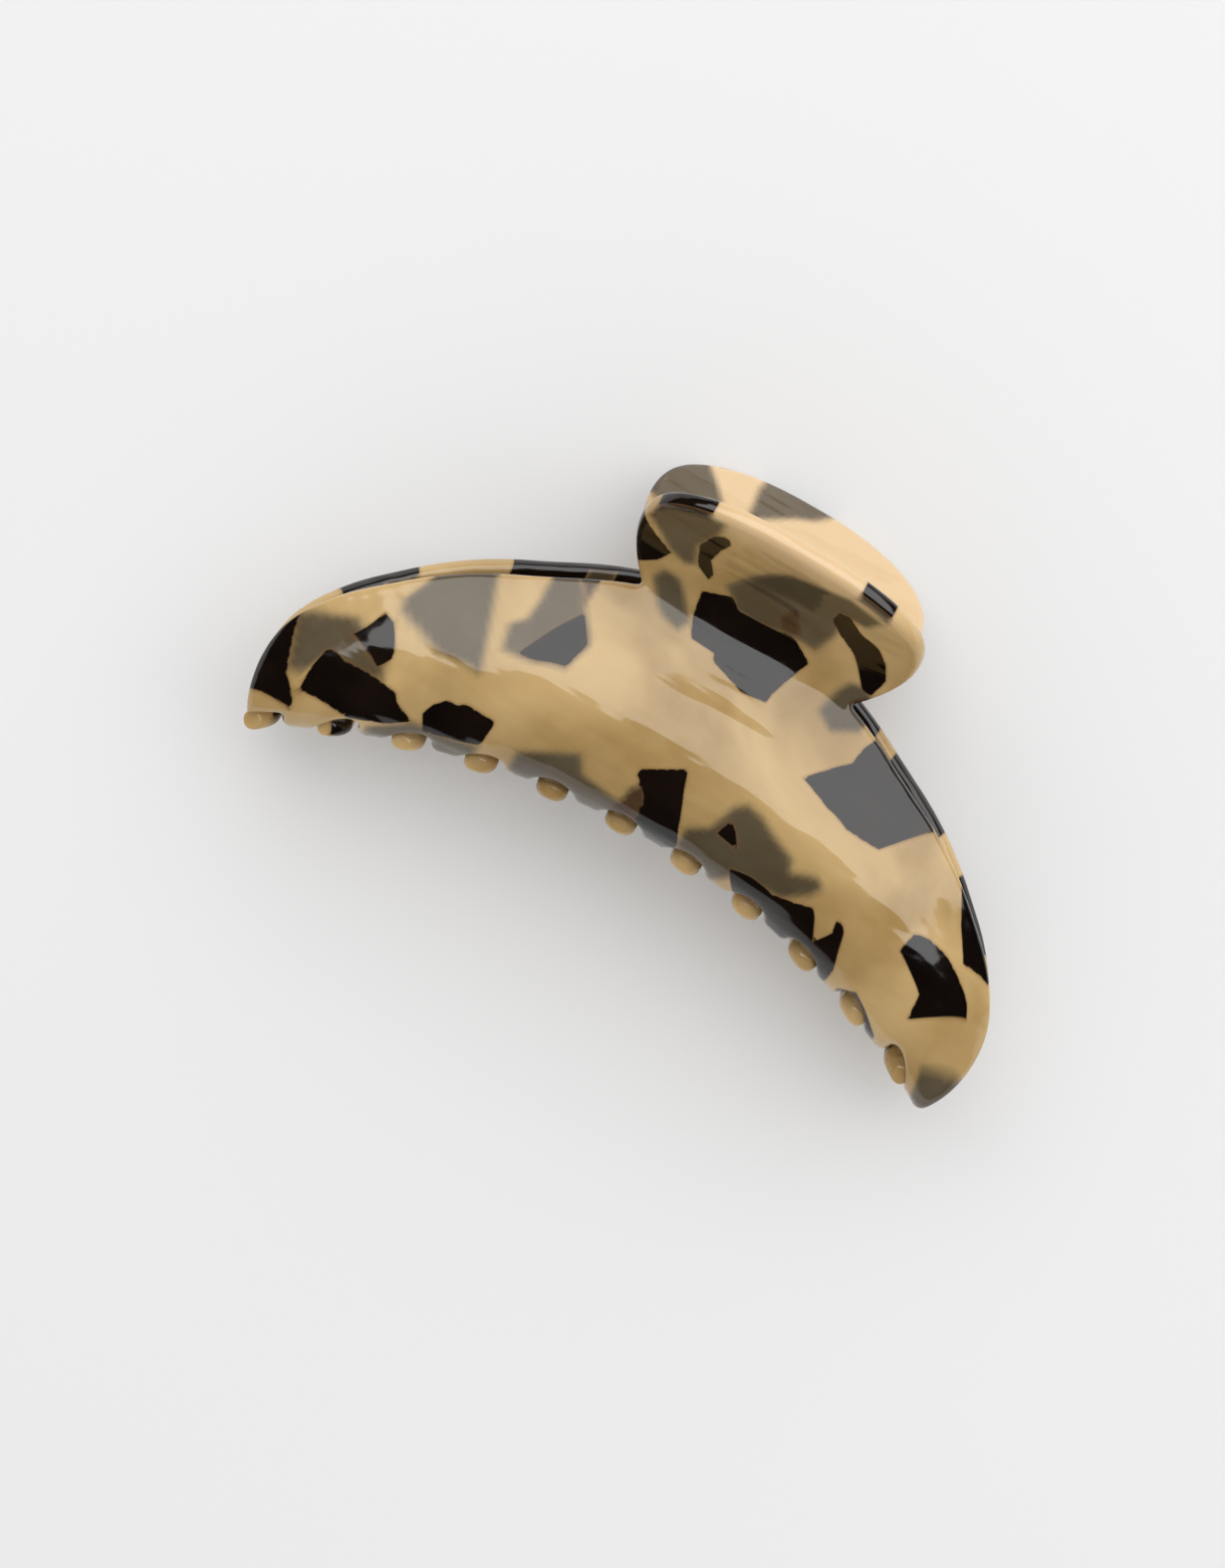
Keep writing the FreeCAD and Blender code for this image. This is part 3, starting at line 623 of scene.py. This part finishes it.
# The rear jaw shows the inner face of its tab above the front one's lip, and its rim beyond
# the front one's: these chips are given with x as seen, and with heights on the inner face.
REAR_SEEN = [
    (MIDDLE, [(-22, 38), (-21, 42), (-16, 44), (-14.2, 42.5), (-11.8, 40.3), (-11, 38), (-18, 34)]),
    (MIDDLE, [(-8, 40), (-8.6, 44.4), (-8, 48), (-0.4, 49), (2.4, 46.5), (0, 44.4), (-2.5, 43.4),
              (-5, 41.8)]),
]
REAR_RIM = [
    (THROUGH, -49.9, -46), (MIDDLE, -46, -42.4), (THROUGH, -31.9, -22.8), (MIDDLE, -22.8, -19.1),
    (THROUGH, -19.1, -15), (THROUGH, 15, 22), (THROUGH, 25.5, 36.5), (UNDER, 41.5, 49),
]


RIM_CHIP_OVER, RIM_CHIP_SIDE, RIM_CHIP_POINT = 3, 4, 8     # how far they run past and below it


def front_chips():
    """The front jaw's chips on its sheet: prescribed, strewn, and those at the tab's lip."""
    chips = [(depths, seen_to_sheet(outline)) for depths, outline in FRONT_SEEN]
    for strewing in FRONT_STREWN:
        chips += scattered_chips(*strewing)
    for start, end in FRONT_LIP:
        x = np.linspace(start, end, 6)
        inner = np.stack([x, lip_along(x) - LIP_BAND], axis=1)
        chips.append((MIDDLE, np.vstack([inner, [(end, BEYOND_LIP), (start, BEYOND_LIP)]])))
    return chips


def rear_chips():
    """The rear jaw's chips on its sheet, whose own x runs the other way and whose faces swap."""
    chips = []
    for (low, high), outline in REAR_SEEN:
        chips.append(((-high, -low), seen_to_sheet(outline, -1, -HALF, (3, 4))))
    for depths, start, end in REAR_RIM:
        at_start, at_end = rim_along(start)[0], rim_along(end)[0]
        point = ((start + end) / 2, (at_start + at_end) / 2 - RIM_CHIP_POINT)
        chips.append((depths, [
            (-start, at_start + RIM_CHIP_OVER), (-end, at_end + RIM_CHIP_OVER),
            (-end, at_end - RIM_CHIP_SIDE), (-point[0], point[1]),
            (-start, at_start - RIM_CHIP_SIDE)]))
    for strewing in REAR_STREWN:
        chips += scattered_chips(*strewing)
    return chips


# ------------------------------------------------------------------ the jaws

WAVE_COUNT, WAVE_STEEPNESS = 9, 0.0014    # slow waves that polishing leaves
FACE_INSET = 0.05        # keeps the waves from standing proud of the sheet
SEAT_HALF_WIDTH, SEAT_HALF_HEIGHT, SEAT_OUT = 9.4, 2.5, 5.8   # flat under each hinge leaf


def polish_waves(sheet, seed):
    """The slow unevenness that hand polishing leaves on a face, in millimetres."""
    rng = np.random.default_rng(seed)
    waves = np.zeros(len(sheet))
    for _ in range(WAVE_COUNT):
        angle, length = rng.uniform(0, math.pi), rng.uniform(9, 24)
        way = np.array([math.cos(angle), math.sin(angle)]) * 2 * math.pi / length
        waves += WAVE_STEEPNESS * length * np.sin(sheet[:, :2] @ way + rng.uniform(0, 6.28))
    return waves


def add_jaw(name, body, node, side, chips, seed, tab_painted_light_range):
    """One jaw as a divided sheet; side -1 turns it half round about the up axis.

    The cream is painted lighter towards the tab over the range of places along the sheet given last: a
    painted highlight standing in for the light that falls on the tab."""
    sheet = SHEET_POINTS.copy()
    crisp, veil = pattern_values(sheet, chips)
    flat = np.abs(sheet[:, 2]) / HALF
    sheet[:, 2] += (polish_waves(sheet, seed) - FACE_INSET) * np.sign(sheet[:, 2]) * flat
    points = on_sheet(*sheet.T)
    seat = ((sheet[:, 2] < 0) & (np.abs(points[:, 0]) < SEAT_HALF_WIDTH)
            & (np.abs(points[:, 1] - AXIS_UP) < SEAT_HALF_HEIGHT))
    points[seat, 2] = np.maximum(points[seat, 2], SEAT_OUT)
    points *= [side, 1, side]
    mesh = bpy.data.meshes.new(name)
    mesh.from_pydata(to_row(points).tolist(), [], SHEET_FACES)
    # painted highlight: the cream is made lighter towards the tab, standing in for the light that falls
    # on it
    tab_painted_light = smooth_step(sheet[:, 1], *tab_painted_light_range)
    for title, values in (("chip", crisp), ("veil", veil), ("tab_painted_light", tab_painted_light)):
        mesh.attributes.new(title, "FLOAT", "POINT").data.foreach_set("value", values.astype(np.float32))
    mesh.shade_smooth()
    jaw = bpy.data.objects.new(name, mesh)
    bpy.context.scene.collection.objects.link(jaw)
    mesh.materials.append(ACETATE)
    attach(jaw, body)
    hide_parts(node)
    return jaw


# ------------------------------------------------------------------ materials

class Shader:
    """A Principled material with short calls for the nodes that feed it."""

    def __init__(self, name):
        self.material = bpy.data.materials.new(name)
        self.material.use_nodes = True
        self.tree = self.material.node_tree
        self.principled = self.tree.nodes["Principled BSDF"]

    def feed(self, socket, value):
        if isinstance(value, bpy.types.NodeSocket):
            self.tree.links.new(value, socket)
        elif socket.type == "RGBA":
            socket.default_value = (*value, 1) if len(value) == 3 else value
        else:
            socket.default_value = value

    def set(self, **inputs):
        for name, value in inputs.items():
            self.feed(self.principled.inputs[name.replace("_", " ")], value)

    def attribute(self, name):
        node = self.tree.nodes.new("ShaderNodeAttribute")
        node.attribute_name = name
        return node.outputs["Fac"]

    def place(self):
        return self.tree.nodes.new("ShaderNodeTexCoord").outputs["Object"]

    def stretched(self, scale, angle=0.0):
        node = self.tree.nodes.new("ShaderNodeMapping")
        self.feed(node.inputs["Vector"], self.place())
        node.inputs["Scale"].default_value = scale
        node.inputs["Rotation"].default_value = (0, 0, angle)
        return node.outputs["Vector"]

    def noise(self, scale, detail=3.0, roughness=0.5, distortion=0.0, vector=None):
        node = self.tree.nodes.new("ShaderNodeTexNoise")
        self.feed(node.inputs["Vector"], vector or self.place())
        node.inputs["Scale"].default_value = scale
        node.inputs["Detail"].default_value = detail
        node.inputs["Roughness"].default_value = roughness
        node.inputs["Distortion"].default_value = distortion
        return node.outputs["Fac"]

    def between(self, value, low, high, to_low=0.0, to_high=1.0):
        node = self.tree.nodes.new("ShaderNodeMapRange")
        node.interpolation_type = "SMOOTHSTEP"
        for name, item in (("Value", value), ("From Min", low), ("From Max", high),
                           ("To Min", to_low), ("To Max", to_high)):
            self.feed(node.inputs[name], item)
        return node.outputs["Result"]

    def calculate(self, operation, *values):
        node = self.tree.nodes.new("ShaderNodeMath")
        node.operation = operation
        for socket, value in zip(node.inputs, values):
            self.feed(socket, value)
        return node.outputs["Value"]

    def mixed(self, factor, first, second):
        node = self.tree.nodes.new("ShaderNodeMix")
        node.data_type = "RGBA"
        self.feed(node.inputs["Factor"], factor)
        self.feed(node.inputs[6], first)
        self.feed(node.inputs[7], second)
        return node.outputs[2]

    def bump(self, height, strength, distance):
        node = self.tree.nodes.new("ShaderNodeBump")
        node.inputs["Strength"].default_value = strength
        node.inputs["Distance"].default_value = distance
        self.feed(node.inputs["Height"], height)
        return node.outputs["Normal"]


def acetate():
    """Honey and cream cellulose acetate with black and smoke-grey chips, polished."""
    s = Shader("tortoise_acetate")
    chip, veil = s.attribute("chip"), s.attribute("veil")
    cloud = s.noise(42, detail=3, roughness=0.5, distortion=0.6)
    tan = s.mixed(s.between(s.noise(160, detail=4), 0.3, 0.7), (0.375, 0.238, 0.086),
                  (0.435, 0.290, 0.120))
    base = s.mixed(s.between(cloud, 0.34, 0.66), tan, (0.59, 0.410, 0.186))
    # painted highlight: a lighter cream towards each tab, standing in for the light that falls on the
    # tabs
    base = s.mixed(s.attribute("tab_painted_light"), base, (0.74, 0.54, 0.315))
    smoke_tone = s.noise(60, detail=4, distortion=0.5)
    smoke = s.mixed(s.between(smoke_tone, 0.3, 0.7), (0.036, 0.030, 0.020), (0.070, 0.062, 0.046))
    smoke = s.mixed(s.between(veil, 0.88, 0.97), smoke, (0.016, 0.011, 0.009))
    black = s.between(chip, 0.1, -0.08)
    fringe = s.calculate("MULTIPLY", s.between(chip, 0.4, 0.0), 0.35)
    colour = s.mixed(veil, base, smoke)
    colour = s.mixed(fringe, colour, (0.19, 0.085, 0.026))
    depth_tone = s.mixed(s.between(s.noise(110, detail=3), 0.3, 0.75), (0.0035, 0.0015, 0.001),
                         (0.009, 0.0045, 0.0025))
    colour = s.mixed(black, colour, depth_tone)
    clear = s.calculate("SUBTRACT", 1.0, black)
    thinned = s.calculate("SUBTRACT", 1.0, s.calculate("MULTIPLY", veil, 0.9))
    scuffs = s.noise(900, detail=5, roughness=0.7)
    s.set(Base_Color=colour, IOR=1.5,
          Roughness=s.between(scuffs, 0.35, 0.75, 0.07, 0.14),
          Subsurface_Weight=s.calculate("MULTIPLY", s.calculate("MULTIPLY", clear, thinned), 0.35),
          Subsurface_Radius=(1.0, 0.62, 0.3), Subsurface_Scale=0.0025,
          Normal=s.bump(s.noise(1.0, detail=2, vector=s.stretched((45, 170, 170))), 0.6, 0.0012))
    return s.material


def steel(name, tint, roughness, stretch):
    """Nickel-plated steel with drawn or brushed lines and a little tarnish in patches."""
    s = Shader(name)
    lines = s.noise(1500, detail=4, roughness=0.6, vector=s.stretched(stretch))
    patches = s.noise(700, detail=3, distortion=0.4)
    darker = tuple(0.72 * c for c in tint)
    s.set(Base_Color=s.mixed(s.between(patches, 0.35, 0.8), tint, darker), Metallic=1.0,
          Roughness=s.between(lines, 0.3, 0.7, roughness - 0.07, roughness + 0.1),
          Normal=s.bump(lines, 0.3, 0.00001))
    return s.material


def floor_paper():
    """Pale matt paper, lifted a little by its own light so that shadows on it stay soft."""
    s = Shader("backdrop")
    tone = s.noise(3.0, detail=2)
    s.set(Base_Color=s.mixed(tone, (0.66, 0.66, 0.663), (0.675, 0.675, 0.677)), Roughness=0.85,
          Emission_Color=(1, 1, 1), Emission_Strength=0.15,
          Normal=s.bump(s.noise(900, detail=3), 0.05, 0.0001))
    s.principled.inputs["Specular IOR Level"].default_value = 0.2
    return s.material


ACETATE = acetate()
HINGE_STEEL = steel("hinge_steel", (0.58, 0.56, 0.52), 0.3, (0.08, 1, 1))
RIVET_STEEL = steel("rivet_steel", (0.66, 0.64, 0.60), 0.24, (1, 1, 1))
SPRING_STEEL = steel("spring_wire", (0.50, 0.49, 0.47), 0.22, (1, 0.3, 0.3))

SHEET_POINTS, SHEET_FACES = divided_sheet()

add_jaw("front_jaw_sheet", "front", "front_jaw", side=1, chips=front_chips(), seed=3,
        tab_painted_light_range=(15, 24))
add_jaw("rear_jaw_sheet", "rear", "rear_jaw", side=-1, chips=rear_chips(), seed=8,
        tab_painted_light_range=(4, 12))


# ------------------------------------------------------------------ the hinge

COIL_RADIUS, WIRE_RADIUS = 2.2, 0.5       # of the spring, to the middle of its wire


def swept_wire(path, radius, sides=14):
    """A round wire along a path of points, with domed ends."""
    tangent = np.gradient(path, axis=0)
    tangent /= np.linalg.norm(tangent, axis=1)[:, None]
    side = np.cross(tangent[0], [0.3, 0.5, 0.8])
    angles = np.linspace(0, 2 * math.pi, sides, endpoint=False)
    verts, faces = [], []
    dome = [(math.sin(a), math.cos(a)) for a in np.linspace(0.25, math.pi / 2, 4)[:-1]]
    rings = [(0, s, -c) for s, c in dome] + [(i, 1, 0) for i in range(len(path))]
    rings += [(len(path) - 1, s, c) for s, c in dome[::-1]]
    for index, scale, push in rings:
        side = side - tangent[index] * (side @ tangent[index])
        side /= np.linalg.norm(side)
        other = np.cross(tangent[index], side)
        centre = path[index] + tangent[index] * push * radius * 0.6
        for a in angles:
            verts.append(centre + radius * scale * (side * math.cos(a) + other * math.sin(a)))
    for ring in range(len(rings) - 1):
        for k in range(sides):
            a, b = ring * sides + k, ring * sides + (k + 1) % sides
            faces.append((a, b, b + sides, a + sides))
    faces.append(tuple(range(sides))[::-1])
    faces.append(tuple(len(verts) - sides + k for k in range(sides)))
    return np.array(verts), faces


def spring_path():
    """The line of the torsion spring's wire in clip axes: rear leg, coil, front leg."""
    lean, pitch, radius, leg = math.radians(31), 1.08, COIL_RADIUS, 8.6
    turns = 10 - (180 + 62) / 360
    angles = np.linspace(math.pi + lean, 20 * math.pi - lean, 330)
    x = np.linspace(turns * pitch / 2, -turns * pitch / 2, len(angles))
    coil = np.stack([x, AXIS_UP + radius * np.sin(angles), radius * np.cos(angles)], axis=1)
    ends = []
    for foot, nearby in ((coil[0], coil[1]), (coil[-1], coil[-2])):
        way = (foot - nearby) / np.linalg.norm(foot - nearby)
        ends.append(foot + np.outer(np.linspace(0.25, leg, 16), way))
    return np.vstack([ends[0][::-1], coil, ends[1]])


def add_spring():
    """The spring's wire, its legs reaching to the two jaws and the coil between them, made as one fixed
    piece.
    """
    points, faces = swept_wire(spring_path(), WIRE_RADIUS)
    mesh = bpy.data.meshes.new("spring_wire")
    mesh.from_pydata(to_row(points).tolist(), [], faces)
    mesh.shade_smooth()
    spring = bpy.data.objects.new("spring_coil", mesh)
    bpy.context.scene.collection.objects.link(spring)
    mesh.materials.append(SPRING_STEEL)
    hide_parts("torsion_spring")
    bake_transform(spring)


add_spring()
for title, finish in (("rear_hinge_leaf", HINGE_STEEL), ("front_hinge_leaf", HINGE_STEEL),
                      ("rear_leaf_rivets", RIVET_STEEL), ("front_leaf_rivets", RIVET_STEEL),
                      ("hinge_pin", RIVET_STEEL)):
    for holder in frame["nodes"][title].material_slots:
        holder.material = finish


# ------------------------------------------------------------------ floor, light and camera

def add_floor():
    """A square of paper five metres across."""
    mesh = bpy.data.meshes.new("floor")
    build = bmesh.new()
    bmesh.ops.create_grid(build, x_segments=8, y_segments=8, size=2.5)
    build.to_mesh(mesh)
    build.free()
    mesh.materials.append(floor_paper())
    floor = bpy.data.objects.new("floor", mesh)
    bpy.context.scene.collection.objects.link(floor)


def add_softbox(name, place, aim, width, height, radiance, only_mirrored=False):
    """A rectangular soft light whose face has the given radiance."""
    lamp = bpy.data.lights.new(name, "AREA")
    lamp.shape = "RECTANGLE"
    lamp.size, lamp.size_y = width, height
    lamp.energy = radiance * math.pi * width * height
    box = bpy.data.objects.new(name, lamp)
    box.location = place
    way = Vector(place) - Vector(aim)
    box.rotation_euler = way.to_track_quat("Z", "Y").to_euler()
    box.visible_diffuse = not only_mirrored
    bpy.context.scene.collection.objects.link(box)


def add_world(strength, in_reflections):
    """White light from all round, of which polished surfaces mirror only a little."""
    world = bpy.data.worlds.new("studio")
    world.use_nodes = True
    tree = world.node_tree
    path = tree.nodes.new("ShaderNodeLightPath")
    dim = tree.nodes.new("ShaderNodeMapRange")
    dim.inputs["To Min"].default_value = strength
    dim.inputs["To Max"].default_value = in_reflections
    tree.links.new(path.outputs["Is Glossy Ray"], dim.inputs["Value"])
    background = tree.nodes["Background"]
    background.inputs["Color"].default_value = (1, 1, 1, 1)
    tree.links.new(dim.outputs["Result"], background.inputs["Strength"])
    bpy.context.scene.world = world


def add_camera(aim, distance, lean, roll, field):
    """A camera nearly overhead: lean tips it towards -X, roll turns the picture's up axis."""
    back = Vector((-math.sin(lean), 0, math.cos(lean)))
    up = Vector((-math.sin(roll), math.cos(roll), 0))
    up = (up - back * up.dot(back)).normalized()
    right = up.cross(back)
    camera_data = bpy.data.cameras.new("camera")
    camera_data.sensor_fit = "VERTICAL"
    camera_data.angle = field
    camera = bpy.data.objects.new("camera", camera_data)
    camera.matrix_world = Matrix((
        (right.x, up.x, back.x, aim[0] + distance * back.x),
        (right.y, up.y, back.y, aim[1] + distance * back.y),
        (right.z, up.z, back.z, aim[2] + distance * back.z), (0, 0, 0, 1)))
    bpy.context.scene.collection.objects.link(camera)
    bpy.context.scene.camera = camera


add_floor()
add_softbox("overhead", place=(0, 0.72, 1.0), aim=(0, 0.52, 0), width=3.0, height=1.3,
            radiance=1.2)
add_softbox("overhead_gleam", place=(0, 0.721, 1.001), aim=(0, 0.521, 0), width=3.0, height=1.3,
            radiance=1.9, only_mirrored=True)
add_softbox("wall", place=(0, 1.7, 0.6), aim=(0, 0, 0.1), width=2.6, height=1.0, radiance=0.6)
add_world(strength=0.64, in_reflections=0.03)
bpy.context.scene.view_settings.view_transform = "Standard"
add_camera(CAMERA_AIM, CAMERA_DISTANCE, CAMERA_LEAN, CAMERA_ROLL, CAMERA_FIELD)
